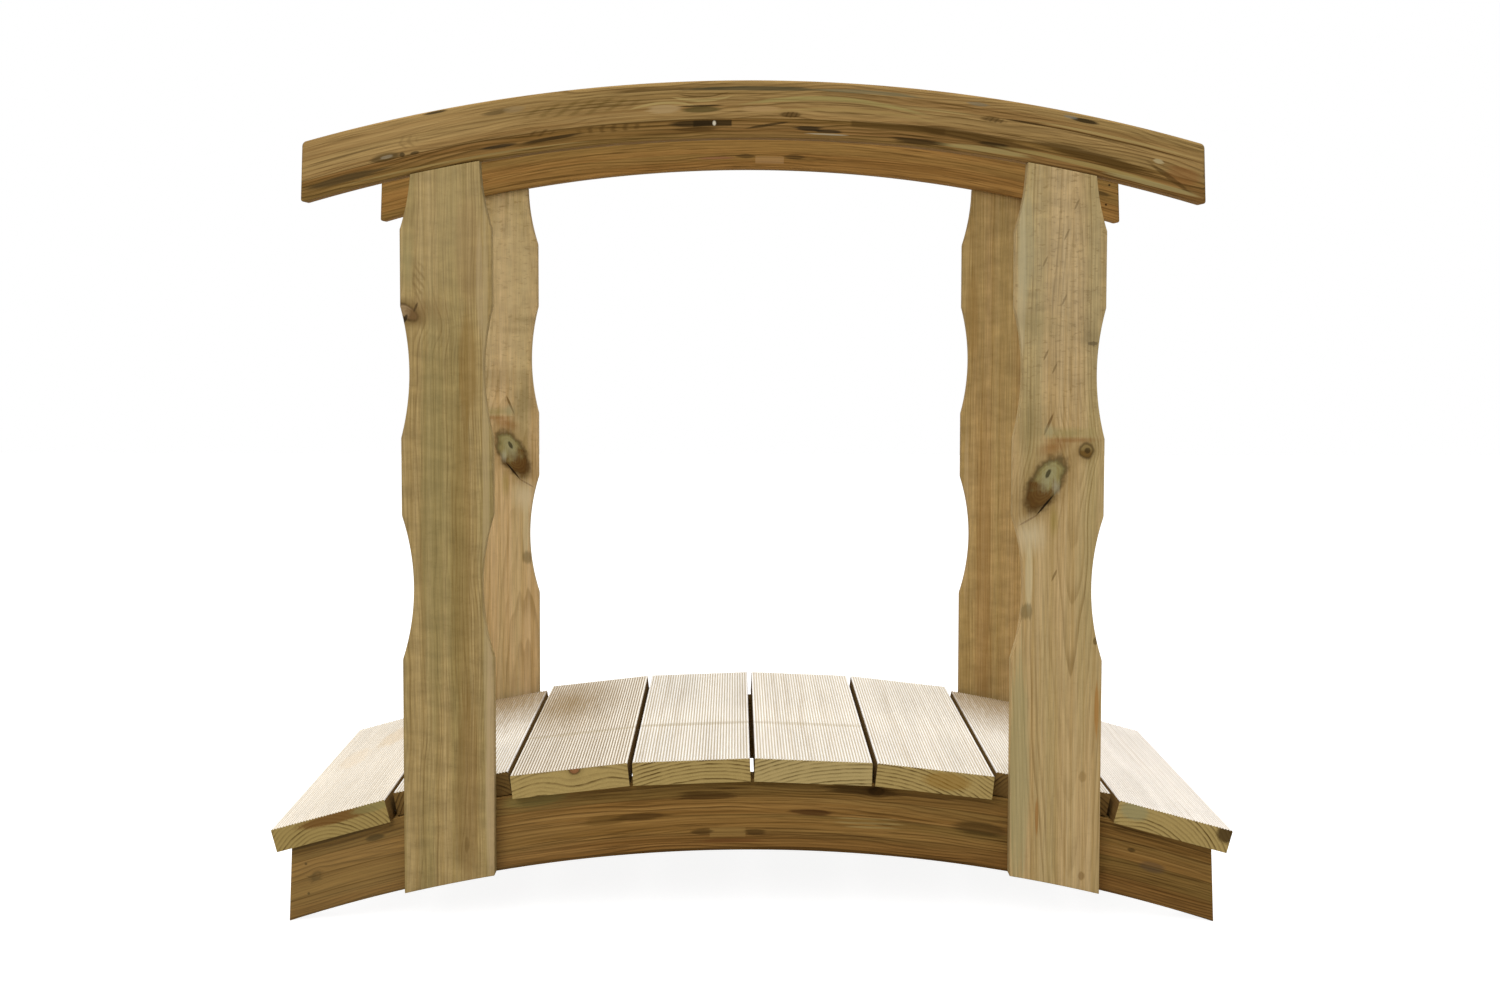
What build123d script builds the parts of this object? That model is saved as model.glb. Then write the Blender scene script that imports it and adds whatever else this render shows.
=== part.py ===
from build123d import *
from math import cos, degrees, radians, sin, sqrt, tan
import os

# Arched garden footbridge in pressure-treated pine, in millimetres.
# Two glued arch stringers carry eight ribbed deck boards. Four scalloped posts stand
# against the stringers' outer faces, and a glued arch handrail lies on each pair of
# posts. X runs along the bridge, Y across it and Z up. The origin is on the ground
# under the middle of the deck.

# Deck boards
BOARD_COUNT = 8
BOARD_WIDTH = 134.5
BOARD_THICKNESS = 27.0
BOARD_LENGTH = 695.0
BOARD_GAP = 5.8

# Ribs milled along the top of each deck board
RIB_COUNT = 39
GROOVE_DEPTH = 1.0
GROOVE_SHARE = 0.6

# Arch stringers, glued from bent strips. The deck's ends reach a little past them.
STRINGER_RADIUS = 1745.0
STRINGER_STRIPS = 4
STRINGER_STRIP_DEPTH = 20.75
STRINGER_THICKNESS = 45.0
STRINGER_END_LEAN = 2.3
DECK_OVERHANG = 16.2

# Posts, in line with the second board from each end, which stops short of them
POST_BOARD = 2
POST_WIDTH = 103.0
POST_THICKNESS = 25.0
SHORT_BOARD_CLEARANCE = 9.0

# Scallops cut in both long edges of a post: height of the middle, depth and radius
SCALLOPS = (
    {"height": 390.0, "depth": 13.0, "radius": 265.0},
    {"height": 634.0, "depth": 9.7, "radius": 287.0},
    {"height": 876.0, "depth": 13.0, "radius": 265.0},
)

# Arch handrails, glued from bent strips, running on past the posts
RAIL_OVERHANG = 111.0
RAIL_CROWN = 897.5
RAIL_RADIUS = 1796.0
RAIL_STRIPS = 3
RAIL_STRIP_DEPTH = 21.3
RAIL_THICKNESS = 45.0
RAIL_END_LEAN = 2.1
RAIL_ROUNDING = 4.0
RAIL_END_CHAMFER = 3.0
LARGEST_ROUNDING_SHARE = 0.45

# How far a cutting outline reaches past what it cuts
CUTTER_MARGIN = 50.0

# Angles on the deck's arch, seen from its centre
STRINGER_DEPTH = STRINGER_STRIPS * STRINGER_STRIP_DEPTH
DECK_RADIUS = STRINGER_RADIUS + STRINGER_DEPTH
BOARD_TOP_RADIUS = DECK_RADIUS + BOARD_THICKNESS
BOARD_PITCH_ANGLE = (BOARD_WIDTH + BOARD_GAP) / BOARD_TOP_RADIUS
MIDDLE_OF_ROW = (BOARD_COUNT + 1) / 2
END_BOARD_ANGLE = (BOARD_COUNT - MIDDLE_OF_ROW) * BOARD_PITCH_ANGLE
POST_BOARD_ANGLE = (MIDDLE_OF_ROW - POST_BOARD) * BOARD_PITCH_ANGLE

# Places along the bridge
DECK_HALF_LENGTH = BOARD_TOP_RADIUS * sin(END_BOARD_ANGLE) + BOARD_WIDTH / 2 * cos(END_BOARD_ANGLE)
STRINGER_HALF_LENGTH = DECK_HALF_LENGTH - DECK_OVERHANG
POST_CENTRE_X = (DECK_RADIUS + BOARD_THICKNESS / 2) * sin(POST_BOARD_ANGLE)
RAIL_HALF_LENGTH = POST_CENTRE_X + POST_WIDTH / 2 + RAIL_OVERHANG

# Heights of the arches' centres. The stringers' lower end corners stand on the ground.
STRINGER_CENTRE_Z = -sqrt(STRINGER_RADIUS**2 - STRINGER_HALF_LENGTH**2)
RAIL_DEPTH = RAIL_STRIPS * RAIL_STRIP_DEPTH
RAIL_CENTRE_Z = RAIL_CROWN - RAIL_RADIUS

# Places across the bridge. The posts' outer faces are flush with the board ends.
OUTER_Y = BOARD_LENGTH / 2
STRINGER_OUTER_Y = OUTER_Y - POST_THICKNESS
SHORT_BOARD_LENGTH = 2 * (STRINGER_OUTER_Y - SHORT_BOARD_CLEARANCE)
SHORT_BOARDS = (POST_BOARD, BOARD_COUNT + 1 - POST_BOARD)


def save(solid, name):
    """Write one piece under its own name."""
    solid.label = name
    export_step(solid, f"parts/{name}.step")


def side_plane(front_y):
    """Upright plane facing the front, at the given depth."""
    return Plane(origin=(0, front_y, 0), x_dir=(1, 0, 0), z_dir=(0, -1, 0))


def raise_from(front_y, thickness, profile):
    """Give a side profile its thickness, from its front face backwards."""
    return extrude(side_plane(front_y) * profile, amount=-thickness)


def ring(centre_z, inner_radius, outer_radius):
    """Side profile of a full ring round an arch's centre."""
    return Pos(0, centre_z) * (Circle(outer_radius) - Circle(inner_radius))


def between_ends(half_length, foot_z, head_z, lean):
    """Side profile between the two leaning end cuts of an arch beam."""
    head_half_length = half_length - (head_z - foot_z) * tan(radians(lean))
    return Polygon(
        (-half_length, foot_z),
        (half_length, foot_z),
        (head_half_length, head_z),
        (-head_half_length, head_z),
        align=None,
    )


def arch_beam(front_y, thickness, centre_z, radius, depth, half_length, lean):
    """Square-edged arch beam with leaning end cuts."""
    foot_z = centre_z + sqrt(radius**2 - half_length**2)
    head_z = centre_z + radius + depth + CUTTER_MARGIN
    ends = between_ends(half_length, foot_z, head_z, lean)
    return raise_from(front_y, thickness, ring(centre_z, radius, radius + depth) & ends)


def split_in_strips(beam, front_y, thickness, centre_z, radius, strips, strip_depth):
    """Part an arch beam into its bent strips, lowest first."""
    pieces = []
    for number in range(strips):
        inner = radius + number * strip_depth
        shell = raise_from(front_y, thickness, ring(centre_z, inner, inner + strip_depth))
        pieces.append(beam & shell)
    return pieces


def stringer_strips(front_y):
    """Bent strips of one stringer, square at every edge."""
    beam = arch_beam(
        front_y,
        STRINGER_THICKNESS,
        STRINGER_CENTRE_Z,
        STRINGER_RADIUS,
        STRINGER_DEPTH,
        STRINGER_HALF_LENGTH,
        STRINGER_END_LEAN,
    )
    return split_in_strips(
        beam,
        front_y,
        STRINGER_THICKNESS,
        STRINGER_CENTRE_Z,
        STRINGER_RADIUS,
        STRINGER_STRIPS,
        STRINGER_STRIP_DEPTH,
    )


def rail_strips(front_y):
    """Bent strips of one handrail, its long edges rounded and its end cuts eased."""
    beam = arch_beam(
        front_y,
        RAIL_THICKNESS,
        RAIL_CENTRE_Z,
        RAIL_RADIUS,
        RAIL_DEPTH,
        RAIL_HALF_LENGTH,
        RAIL_END_LEAN,
    )
    largest = LARGEST_ROUNDING_SHARE * RAIL_THICKNESS
    long_edges = beam.edges().filter_by(GeomType.CIRCLE)
    beam = fillet(long_edges, min(RAIL_ROUNDING, largest))
    left_end, *_, right_end = beam.faces().filter_by(GeomType.PLANE).sort_by(Axis.X)
    beam = chamfer(left_end.edges() + right_end.edges(), min(RAIL_END_CHAMFER, largest))
    return split_in_strips(
        beam,
        front_y,
        RAIL_THICKNESS,
        RAIL_CENTRE_Z,
        RAIL_RADIUS,
        RAIL_STRIPS,
        RAIL_STRIP_DEPTH,
    )


def post_profile(side):
    """Side profile of a post: a board between the two arches, scalloped on both edges."""
    centre_x = side * POST_CENTRE_X
    board = Pos(centre_x, RAIL_CROWN / 2) * Rectangle(POST_WIDTH, RAIL_CROWN)
    below_rail = Pos(0, RAIL_CENTRE_Z) * Circle(RAIL_RADIUS)
    under_bridge = Pos(0, STRINGER_CENTRE_Z) * Circle(STRINGER_RADIUS)
    profile = (board & below_rail) - under_bridge
    for scallop in SCALLOPS:
        reach = POST_WIDTH / 2 + scallop["radius"] - scallop["depth"]
        for edge in (-1, 1):
            cutter = Circle(scallop["radius"])
            profile -= Pos(centre_x + edge * reach, scallop["height"]) * cutter
    return profile


def ribbed_profile():
    """Cross-section of a deck board, its top milled in fine ribs."""
    pitch = BOARD_WIDTH / RIB_COUNT
    half_groove = GROOVE_SHARE * pitch / 2
    half_width = BOARD_WIDTH / 2
    points = [(-half_width, 0), (-half_width, BOARD_THICKNESS)]
    for number in range(1, RIB_COUNT):
        middle = number * pitch - half_width
        points.append((middle - half_groove, BOARD_THICKNESS))
        points.append((middle, BOARD_THICKNESS - GROOVE_DEPTH))
        points.append((middle + half_groove, BOARD_THICKNESS))
    points.append((half_width, BOARD_THICKNESS))
    points.append((half_width, 0))
    return make_face(Polyline(*points, close=True))


def deck_board(number):
    """One deck board, lying on the stringers along its middle line."""
    length = SHORT_BOARD_LENGTH if number in SHORT_BOARDS else BOARD_LENGTH
    angle = (number - MIDDLE_OF_ROW) * BOARD_PITCH_ANGLE
    seat = Pos(DECK_RADIUS * sin(angle), STRINGER_CENTRE_Z + DECK_RADIUS * cos(angle))
    profile = seat * Rot(0, 0, -degrees(angle)) * ribbed_profile()
    return raise_from(-length / 2, length, profile)


os.makedirs("parts", exist_ok=True)

for number in range(1, BOARD_COUNT + 1):
    save(deck_board(number), f"deck_board_{number}")

for row, toward_back in (("front", False), ("back", True)):
    post_y = STRINGER_OUTER_Y if toward_back else -OUTER_Y
    stringer_y = STRINGER_OUTER_Y - STRINGER_THICKNESS if toward_back else -STRINGER_OUTER_Y
    rail_y = OUTER_Y - RAIL_THICKNESS if toward_back else -OUTER_Y
    for end, side in (("left", -1), ("right", 1)):
        save(raise_from(post_y, POST_THICKNESS, post_profile(side)), f"post_{row}_{end}")
    for number, strip in enumerate(stringer_strips(stringer_y), 1):
        save(strip, f"stringer_{row}_strip_{number}")
    for number, strip in enumerate(rail_strips(rail_y), 1):
        save(strip, f"handrail_{row}_strip_{number}")
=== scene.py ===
"""Looks of an arched garden footbridge in pressure-treated pine."""
from math import asin, atan2, cos, hypot, pi, radians, sin, sqrt

import bmesh
import bpy
from mathutils import Matrix, Vector


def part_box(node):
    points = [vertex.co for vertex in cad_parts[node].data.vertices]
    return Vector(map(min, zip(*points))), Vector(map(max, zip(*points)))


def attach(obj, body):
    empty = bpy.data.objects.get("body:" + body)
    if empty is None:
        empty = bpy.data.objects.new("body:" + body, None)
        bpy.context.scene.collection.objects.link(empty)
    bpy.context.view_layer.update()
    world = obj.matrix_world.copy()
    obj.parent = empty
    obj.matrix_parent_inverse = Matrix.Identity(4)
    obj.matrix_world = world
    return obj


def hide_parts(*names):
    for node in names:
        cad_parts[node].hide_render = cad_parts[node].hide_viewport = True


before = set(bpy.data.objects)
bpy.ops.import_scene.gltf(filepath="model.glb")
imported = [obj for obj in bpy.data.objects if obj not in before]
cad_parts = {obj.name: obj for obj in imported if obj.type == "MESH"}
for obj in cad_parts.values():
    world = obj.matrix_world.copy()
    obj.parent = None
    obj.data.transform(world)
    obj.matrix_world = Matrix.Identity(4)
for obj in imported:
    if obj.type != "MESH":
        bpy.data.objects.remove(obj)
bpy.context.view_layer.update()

MM = 0.001

# Deck boards, mm
BOARD_THICKNESS = 27.0
BOARD_WIDTH = 134.5
RIB_COUNT = 39
GROOVE_DEPTH = 1.0
BOARD_ARRIS = 1.6

# Arch forms that the strips were bent over, mm. The half lengths come from the frame.
STRINGER_RADIUS = 1745.0
STRINGER_STRIP_DEPTH = 20.75
STRINGER_HALF_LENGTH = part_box("stringer_front_strip_1")[1][0] / MM
STRINGER_END_LEAN = 2.3
STRINGER_ARRIS = 0.8
RAIL_RADIUS = 1796.0
RAIL_CROWN = 897.5
RAIL_STRIP_DEPTH = 21.3
RAIL_HALF_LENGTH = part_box("handrail_front_strip_1")[1][0] / MM
RAIL_END_LEAN = 2.1
RAIL_ROUNDING = 4.0

# Post scallops, mm: height of the middle, depth and radius
SCALLOPS = ((390.0, 13.0, 265.0), (634.0, 9.7, 287.0), (876.0, 13.0, 265.0))
POST_ARRIS = 0.9

# Heights of the arches' centres, mm
STRINGER_CENTRE_Z = -sqrt(STRINGER_RADIUS**2 - STRINGER_HALF_LENGTH**2)
RAIL_CENTRE_Z = RAIL_CROWN - RAIL_RADIUS

# How finely the pieces are divided
POINTS_PER_RIB = 6
BOARD_ROWS = 8
POST_COLUMNS = 9
POST_ROWS = 320
LATH_CUTS = 120
ROUNDING_STEPS = 4
ARRIS_STEPS = 2
MERGE_DISTANCE = 0.01 * MM

# Angles in degrees from which an edge is broken, and from which it is shaded as an edge
ARRIS_ANGLE = 50
SHARP_ANGLE = 32

# Powers that narrow the grooves, and that keep the curve of a post's end cuts close to its ends
GROOVE_SHARPNESS = 1.6
END_SHARPNESS = 30.0

FLOAT = "NodeSocketFloat"
VECTOR = "NodeSocketVector"
GEOMETRY = "NodeSocketGeometry"
MATERIAL = "NodeSocketMaterial"

# How the kinds of node begin whose names are written in full
FULL_KINDS = ("GeometryNode", "NodeGroup")


def colour(hex_code):
    """Linear RGBA of an sRGB hex code."""
    channels = [int(hex_code[i:i + 2], 16) / 255 for i in (1, 3, 5)]
    linear = [c / 12.92 if c <= 0.04045 else ((c + 0.055) / 1.055) ** 2.4 for c in channels]
    return (*linear, 1.0)


def add(tree, kind, *values, **settings):
    """Add a node with its settings, and fill its open inputs with values or links.

    The kind leaves out the prefix of a shader node and ends with the node's operation, if it
    has one. Inputs are filled in order, or by name where they come as a dictionary. A Map Range
    takes its value, the span that this comes from and the span that it goes to.
    """
    kind, _, operation = kind.partition(" ")
    made = tree.nodes.new(kind if kind.startswith(FULL_KINDS) else "ShaderNode" + kind)
    if operation:
        made.operation = operation
    for name, value in settings.items():
        setattr(made, name, value)
    sockets = [socket for socket in made.inputs if socket.enabled]
    if values and isinstance(values[0], dict):
        pairs = [(next(s for s in sockets if s.name == name), value)
                 for name, value in values[0].items()]
    else:
        pairs = list(zip(sockets, values))
    for socket, value in pairs:
        if isinstance(value, bpy.types.Node):
            value = next(s for s in value.outputs if s.enabled)
        if isinstance(value, bpy.types.NodeSocket):
            tree.links.new(value, socket)
        else:
            socket.default_value = value
    return made


def new_group(name, kind, inputs, outputs):
    """Empty node group. A socket that is only named is a number, the others bring their type."""
    tree = bpy.data.node_groups.new(name, kind)
    for side, sockets in (("INPUT", inputs), ("OUTPUT", outputs)):
        for socket in sockets:
            label, content = (socket, FLOAT) if isinstance(socket, str) else socket
            tree.interface.new_socket(name=label, in_out=side, socket_type=content)
    return tree, tree.nodes.new("NodeGroupInput").outputs


# Wood patterns. The grain attribute of every piece holds mm along the fibres, across the
# face and in from the face, so that one set of growth rings shows on faces and ends alike.

def growth_ring_group():
    """Growth rings round a leaning pith, with the fibres, streaks and flecks between them."""
    tree, given = new_group(
        "growth rings", "ShaderNodeTree",
        [("Grain", VECTOR), ("Pull", VECTOR), "Seed", ("Pith", VECTOR), ("Slope", VECTOR),
         "Ring Width", "Waviness", "Unevenness"],
        ["Latewood", "Fibre", "Streak", "Band", "Fleck", "Figure", "Vein", "Patch", "Ragged"],
    )
    seed_shift = add(tree, "VectorMath SCALE", (371.3, 73.9, 19.7), given["Seed"])
    own = add(tree, "VectorMath ADD", given["Grain"], seed_shift)

    def noise(size_mm, detail, roughness=0.5, output="Fac"):
        """Noise whose features have the given sizes along, across and into the wood."""
        scaled = add(tree, "VectorMath MULTIPLY", own, tuple(1 / size for size in size_mm))
        return add(tree, "TexNoise", scaled, 1.0, detail, roughness).outputs[output]

    def peaks(size_mm, detail, roughness, low, high):
        """The highest places of such noise, from none at low to full at high."""
        return add(tree, "MapRange", noise(size_mm, detail, roughness), low, high,
                   interpolation_type="SMOOTHSTEP")

    pulled = add(tree, "VectorMath ADD", given["Grain"], given["Pull"])
    along = add(tree, "SeparateXYZ", pulled).outputs["X"]
    lean = add(tree, "VectorMath SCALE", given["Slope"], along)
    pith = add(tree, "VectorMath ADD", given["Pith"], lean)
    offset = add(tree, "VectorMath SUBTRACT", pulled, pith)
    drift = noise((210, 60, 60), 2.0, 0.5, "Color")
    centred = add(tree, "VectorMath SUBTRACT", drift, (0.5, 0.5, 0.5))
    sway = add(tree, "VectorMath SCALE", centred, given["Waviness"])
    swayed = add(tree, "VectorMath ADD", offset, sway)
    flat = add(tree, "VectorMath MULTIPLY", swayed, (0, 1, 1))
    radius = add(tree, "VectorMath LENGTH", flat).outputs["Value"]
    phase = add(tree, "Math DIVIDE", radius, given["Ring Width"])
    uneven = add(tree, "Math MULTIPLY_ADD", noise((600, 12, 12), 1.0), given["Unevenness"], phase)
    ring = add(tree, "Math FRACT", uneven)
    rise = add(tree, "MapRange", ring, 0.3, 0.9, interpolation_type="SMOOTHERSTEP")
    fall = add(tree, "MapRange", ring, 1.0, 0.9, interpolation_type="SMOOTHSTEP")
    number = add(tree, "Math FLOOR", uneven)
    keyed = add(tree, "Math ADD", number, given["Seed"])
    strength = add(tree, "TexWhiteNoise", keyed, noise_dimensions="1D").outputs["Value"]
    weighted = add(tree, "MapRange", strength, 0, 1, 0.2, 1.0)
    fading = add(tree, "MapRange", noise((130, 16, 16), 2.0), 0.32, 0.6, 0.35)
    late = add(tree, "Math MULTIPLY", rise, fall)
    late = add(tree, "Math MULTIPLY", late, weighted)
    late = add(tree, "Math MULTIPLY", late, fading)
    add(tree, "NodeGroupOutput", {
        "Latewood": late,
        "Fibre": noise((45, 1.0, 1.0), 3.0, 0.65),
        "Streak": noise((420, 5, 9), 3.0, 0.55),
        "Band": noise((700, 26, 40), 2.0, 0.5),
        "Fleck": peaks((3.4, 8, 8), 3.0, 0.6, 0.54, 0.7),
        "Figure": noise((14, 30, 30), 3.0, 0.55),
        "Vein": peaks((95, 2.1, 3), 4.0, 0.62, 0.52, 0.72),
        "Patch": peaks((150, 9, 14), 4.0, 0.6, 0.58, 0.7),
        "Ragged": noise((60, 1.9, 1.9), 4.0, 0.65),
    })
    return tree


def knot_group():
    """Knot: its two-toned core, thin outline, brown halo, fine rings and pull on the grain."""
    tree, given = new_group(
        "knot", "ShaderNodeTree",
        [("Grain", VECTOR), ("Place", VECTOR), "Radius", "Reach", "Stretch", "Lean"],
        ["Core", "Outline", "Halo", "Lower", "Rings", ("Pull", VECTOR)],
    )
    away = add(tree, "VectorMath SUBTRACT", given["Grain"], given["Place"])
    flat = add(tree, "VectorMath MULTIPLY", away, (1, 1, 0))
    back = add(tree, "Math MULTIPLY", given["Lean"], -1.0)
    turned = add(tree, "VectorRotate", {"Vector": flat, "Angle": back}, rotation_type="Z_AXIS")
    own = add(tree, "SeparateXYZ", turned)
    long_way = add(tree, "Math DIVIDE", own.outputs["X"], given["Stretch"])
    oval = add(tree, "CombineXYZ", long_way, own.outputs["Y"])
    distance = add(tree, "VectorMath LENGTH", oval).outputs["Value"]
    small = add(tree, "VectorMath SCALE", given["Grain"], 1 / 9)
    ragged = add(tree, "TexNoise", small, 1.0, 2.0)
    share = add(tree, "Math DIVIDE", distance, given["Radius"])
    edge = add(tree, "Math MULTIPLY_ADD", ragged, 0.6, share)
    under_rim = add(tree, "MapRange", edge, 1.66, 1.3, interpolation_type="SMOOTHSTEP")
    over_core = add(tree, "MapRange", edge, 1.0, 1.3, interpolation_type="SMOOTHSTEP")
    outline = add(tree, "Math MULTIPLY", under_rim, over_core)
    upward = add(tree, "Math DIVIDE", long_way, given["Radius"])
    mottled = add(tree, "Math MULTIPLY_ADD", ragged, 1.6, upward)
    far = add(tree, "Math DIVIDE", distance, given["Reach"])
    squared = add(tree, "Math MULTIPLY", far, far)
    falling = add(tree, "Math MULTIPLY", squared, -1.0)
    near = add(tree, "Math EXPONENT", falling)
    weight = add(tree, "Math MULTIPLY", near, -0.8)
    pull = add(tree, "VectorMath SCALE", away, weight)
    turns = add(tree, "Math MULTIPLY_ADD", ragged, 3.0, distance)
    turns = add(tree, "Math MULTIPLY", turns, 2.6)
    rings = add(tree, "Math SINE", turns)
    lines = add(tree, "MapRange", rings, -1.0, 1.0)
    core = add(tree, "MapRange", edge, 1.42, 1.16, interpolation_type="SMOOTHSTEP")
    halo = add(tree, "MapRange", edge, 2.6, 1.2, interpolation_type="SMOOTHSTEP")
    lower = add(tree, "MapRange", mottled, 1.2, 0.35, interpolation_type="SMOOTHSTEP")
    add(tree, "NodeGroupOutput", core, outline, halo, lower, lines, pull)
    return tree


def patch_group(name, sawn_ends):
    """Streaky patch drawn out along the fibres, or a let-in strip with its ends sawn square."""
    tree, given = new_group(
        name, "ShaderNodeTree",
        [("Grain", VECTOR), "Ragged", ("Place", VECTOR), ("Half Size", VECTOR), "Rise", "Bow",
         "Raggedness", "Softness"],
        ["Mask"],
    )
    offset = add(tree, "VectorMath SUBTRACT", given["Grain"], given["Place"])
    unit = add(tree, "VectorMath DIVIDE", offset, given["Half Size"])
    along, across, depth = add(tree, "SeparateXYZ", unit).outputs
    squared = add(tree, "Math MULTIPLY", along, along)
    curve = add(tree, "Math MULTIPLY", along, given["Rise"])
    curve = add(tree, "Math MULTIPLY_ADD", squared, given["Bow"], curve)
    level = add(tree, "Math SUBTRACT", across, curve)
    oval = add(tree, "CombineXYZ", 0.0 if sawn_ends else along, level, depth)
    reach = add(tree, "VectorMath LENGTH", oval).outputs["Value"]
    centred = add(tree, "Math SUBTRACT", given["Ragged"], 0.5)
    edge = add(tree, "Math MULTIPLY_ADD", centred, given["Raggedness"], reach)
    outer = add(tree, "Math MULTIPLY_ADD", given["Softness"], 0.5, 1.0)
    inner = add(tree, "Math MULTIPLY_ADD", given["Softness"], -0.5, 1.0)
    mask = add(tree, "MapRange", edge, outer, inner)
    if sawn_ends:
        beyond = add(tree, "Math ABSOLUTE", along)
        ends = add(tree, "MapRange", beyond, 1.0, 0.94)
        mask = add(tree, "Math MULTIPLY", mask, ends)
    add(tree, "NodeGroupOutput", mask)
    return tree


def stripe_group():
    """Row of leaning lines inside a soft patch, as curly grain shows."""
    tree, given = new_group(
        "stripes", "ShaderNodeTree",
        [("Grain", VECTOR), "Ragged", ("Place", VECTOR), ("Half Size", VECTOR), "Spacing", "Lean",
         "Fold"],
        ["Mask"],
    )
    offset = add(tree, "VectorMath SUBTRACT", given["Grain"], given["Place"])
    unit = add(tree, "VectorMath DIVIDE", offset, given["Half Size"])
    reach = add(tree, "VectorMath LENGTH", unit).outputs["Value"]
    inside = add(tree, "MapRange", reach, 1.0, 0.6, interpolation_type="SMOOTHSTEP")
    along, across, _ = add(tree, "SeparateXYZ", offset).outputs
    folded = add(tree, "Math ABSOLUTE", across)
    height = add(tree, "Mix", given["Fold"], across, folded, data_type="FLOAT")
    sine = add(tree, "Math SINE", given["Lean"])
    cosine = add(tree, "Math COSINE", given["Lean"])
    back = add(tree, "Math MULTIPLY", along, sine)
    up = add(tree, "Math MULTIPLY", height, cosine)
    way = add(tree, "Math SUBTRACT", up, back)
    phase = add(tree, "Math DIVIDE", way, given["Spacing"])
    wobbled = add(tree, "Math MULTIPLY_ADD", given["Ragged"], 0.8, phase)
    angle = add(tree, "Math MULTIPLY", wobbled, 2 * pi)
    wave = add(tree, "Math SINE", angle)
    lines = add(tree, "MapRange", wave, -0.2, 0.9)
    mask = add(tree, "Math MULTIPLY", lines, inside)
    add(tree, "NodeGroupOutput", mask)
    return tree


PATTERNS = {
    "rings": growth_ring_group(),
    "knot": knot_group(),
    "stain": patch_group("stain", sawn_ends=False),
    "block": patch_group("block", sawn_ends=True),
    "stripes": stripe_group(),
}

# Marks on the wood. Places and half sizes are in mm, on the face that looks to the front.

EVERYWHERE = 1e5
MARK_DEPTH = 14.0


def knot(along, across, radius, stretch, lean, tones, halo=0.5, reach=2.2, end_depth=None):
    """Knot in a face, or in a sawn end where its depth is given. Lean turns it, in degrees.

    Reach is how far it bends the growth rings, in radii.
    """
    return {"along": along, "across": across, "radius": radius, "stretch": stretch, "lean": lean,
            "tones": tones, "halo": halo, "reach": reach * radius, "end_depth": end_depth}


def stain(along, across, half_length, half_height, tone, share, rise=0, bow=0, raggedness=1.2,
          softness=0.4, depth=0, half_depth=MARK_DEPTH):
    """Patch of another tone. Rise lifts its right end by so many mm, and bow lifts both ends."""
    return {"pattern": "stain", "tone": tone, "share": share, "values": {
        "Place": (along, across, depth), "Half Size": (half_length, half_height, half_depth),
        "Rise": rise / half_height, "Bow": bow / half_height, "Raggedness": raggedness,
        "Softness": softness,
    }}


def deep_stain(*given, **more):
    """Patch of another tone that goes right through the wood."""
    return stain(*given, half_depth=EVERYWHERE, **more)


def end_stain(across, depth, half_width, half_depth, tone, share):
    """Patch of another tone on a sawn end."""
    return stain(0, across, EVERYWHERE, half_width, tone, share, raggedness=0.6, depth=depth,
                 half_depth=half_depth)


def block(*given):
    """Strip of other wood between two finger joints, its ends sawn square."""
    return {**stain(*given, raggedness=1.0, softness=0.5), "pattern": "block"}


def stripes(along, across, half_length, half_height, tone, share, spacing, lean, fold=0.0):
    """Leaning lines of curly grain. Fold of 1 mirrors them about the patch's middle line."""
    return {"pattern": "stripes", "tone": tone, "share": share, "values": {
        "Place": (along, across, 0), "Half Size": (half_length, half_height, MARK_DEPTH),
        "Spacing": spacing, "Lean": radians(lean), "Fold": fold,
    }}


# Share of latewood that shows through a pale top (bleached wood and painted light), the thin line round
# a knot, and the fibre pattern's span with the levels that it darkens and lightens the wood to
FAINT_LATEWOOD = 0.22
KNOT_OUTLINE = "#3C2A12"
FIBRE_SHADE = ((0.3, 0.7), (0.8, 1.17))


def laid_over(tree, body, tone, mask, share=1.0):
    """Lay another tone over a colour where a mask says so."""
    part = add(tree, "Math MULTIPLY", mask, share)
    return add(tree, "Mix", part, body, tone, data_type="RGBA")


def shaded(tree, body, pattern, span, levels, share=1.0):
    """Darken and lighten a colour, from one level to the other over the pattern's span."""
    level = add(tree, "MapRange", pattern, *span, *levels)
    grey = add(tree, "CombineXYZ", level, level, level)
    return add(tree, "Mix", share, body, grey, data_type="RGBA", blend_type="MULTIPLY")


def marked(tree, body, grain, ragged, marks):
    """Lay a piece's own marks over its colour."""
    for mark in marks:
        made = add(tree, "Group", {"Grain": grain, "Ragged": ragged, **mark["values"]},
                   node_tree=PATTERNS[mark["pattern"]])
        body = laid_over(tree, body, colour(mark["tone"]), made, mark["share"])
    return body


def place_knots(tree, grain, knots):
    """Add the knots, and add up how they pull the grain."""
    pull = None
    placed = []
    for spot in knots:
        source = grain
        place = (spot["along"], spot["across"], 0)
        if spot["end_depth"] is not None:
            split = add(tree, "SeparateXYZ", grain)
            source = add(tree, "CombineXYZ", split.outputs["Z"], split.outputs["Y"]).outputs[0]
            place = (spot["end_depth"], spot["across"], 0)
        made = add(tree, "Group", {
            "Grain": source, "Place": place, "Radius": spot["radius"], "Reach": spot["reach"],
            "Stretch": spot["stretch"], "Lean": radians(spot["lean"]),
        }, node_tree=PATTERNS["knot"])
        step = made.outputs["Pull"]
        if spot["end_depth"] is not None:
            split = add(tree, "SeparateXYZ", step)
            step = add(tree, "CombineXYZ", 0, split.outputs["Y"], split.outputs["X"]).outputs[0]
        if pull:
            step = add(tree, "VectorMath ADD", pull, step).outputs[0]
        pull = step
        placed.append((made.outputs, spot))
    return pull, placed


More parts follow.
